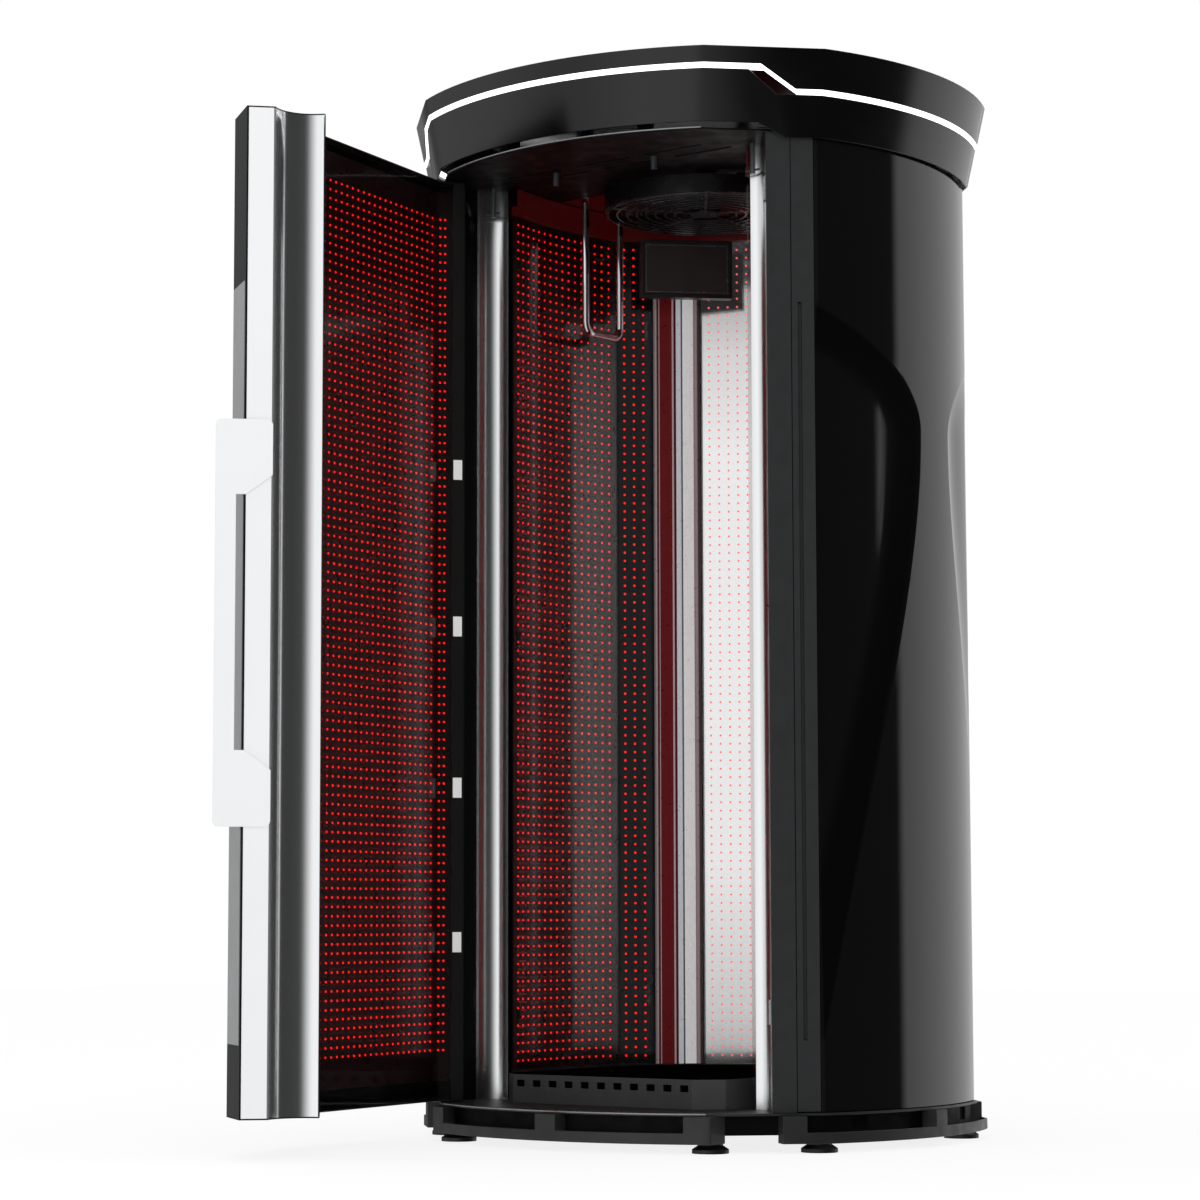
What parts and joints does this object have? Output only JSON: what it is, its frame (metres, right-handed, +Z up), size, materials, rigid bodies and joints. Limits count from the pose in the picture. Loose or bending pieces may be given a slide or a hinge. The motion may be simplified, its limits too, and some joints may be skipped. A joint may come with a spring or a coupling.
{
  "type": "stand-up light therapy booth",
  "caption": "Upright red light booth with a flared canopy, an octagonal curved cabinet, a hinged curved door, lit inner walls, hanging handles and a ceiling fan.",
  "frame": {"origin": "on the floor under the middle of the cabinet", "axes": "+Z up, the doorway faces -Y, +X to the right seen from the front"},
  "size_m": [1.2696, 1.8588, 2.29],
  "materials": {
    "structure": "satin black powder coat",
    "feet": "matt black rubber pad on a steel stem",
    "skirt": "satin dark grey",
    "platform": "satin dark grey",
    "post": "satin dark grey",
    "shell": "gloss black",
    "canopy": "gloss black",
    "light_line": "lit white diffuser",
    "ceiling": "satin grey",
    "studs": "satin",
    "chrome": "polished",
    "led_board": "black board with red diodes",
    "cover": "clear acrylic",
    "profile": "anodised",
    "display": "satin black",
    "screen": "dark gloss",
    "fan": "satin black",
    "driver": "bare",
    "gland": "matt black",
    "steel": "brushed",
    "white": "gloss white",
    "door_caps": "satin black",
    "edge_plate": "satin light grey"
  },
  "bodies": {
    "cabinet": {"base_frame": "structure", "levelling_feet": "feet", "base_skirt_front": "skirt", "base_skirt_rear": "skirt", "base_skirt_left": "skirt", "base_skirt_right": "skirt", "floor_plate": "structure", "step_platform": "platform", "front_post_left": "post", "front_post_right": "post", "rear_posts": "post", "corner_strips": "post", "side_shell_left": "shell", "side_shell_right": "shell", "rear_shell": "shell", "canopy_fascia_upper": "canopy", "canopy_light_line": "light_line", "canopy_fascia_lower": "canopy", "canopy_frame": "structure", "roof_panel": "canopy", "ceiling_header": "ceiling", "ceiling_pan": "ceiling", "ceiling_studs": "studs", "jamb_reflector_left": "chrome", "jamb_reflector_right": "chrome", "led_board_left": "led_board", "led_board_right": "led_board", "led_board_rear": "led_board", "wall_cover_left": "cover", "wall_cover_right": "cover", "wall_cover_rear": "cover", "corner_profiles": "profile", "wall_rail_top": "structure", "wall_rail_bottom": "structure", "grab_handle_left": "chrome", "grab_handle_right": "chrome", "display_housing": "display", "display_screen": "screen", "display_bracket": "display", "fan_frame": "fan", "fan_guard": "fan", "fan_motor": "fan", "driver_racks": "profile", "led_drivers": "driver", "cable_gland": "gland", "hinge_pins": "steel", "magnet_catches": "steel"},
    "door": {"door_skin": "shell", "door_frame": "structure", "door_led_board": "led_board", "door_cover": "cover", "door_edge_profile": "white", "door_cove": "chrome", "door_handle": "white", "door_edge_plate": "edge_plate", "hinge_leaves": "steel", "door_caps": "door_caps", "door_seal": "gland"},
    "rotor": {"fan_rotor": "fan"}
  },
  "joints": [
    {"name": "door_hinge", "type": "hinge", "parent": "cabinet", "child": "door", "pos_m": [-0.40518, -0.38114, 0], "axis": [0, 0, 1], "range_deg": [-10, 80]},
    {"name": "fan_spin", "type": "hinge", "parent": "cabinet", "child": "rotor", "pos_m": [0, 0.03, 2.1], "axis": [0, 0, 1], "continuous": true}
  ]
}
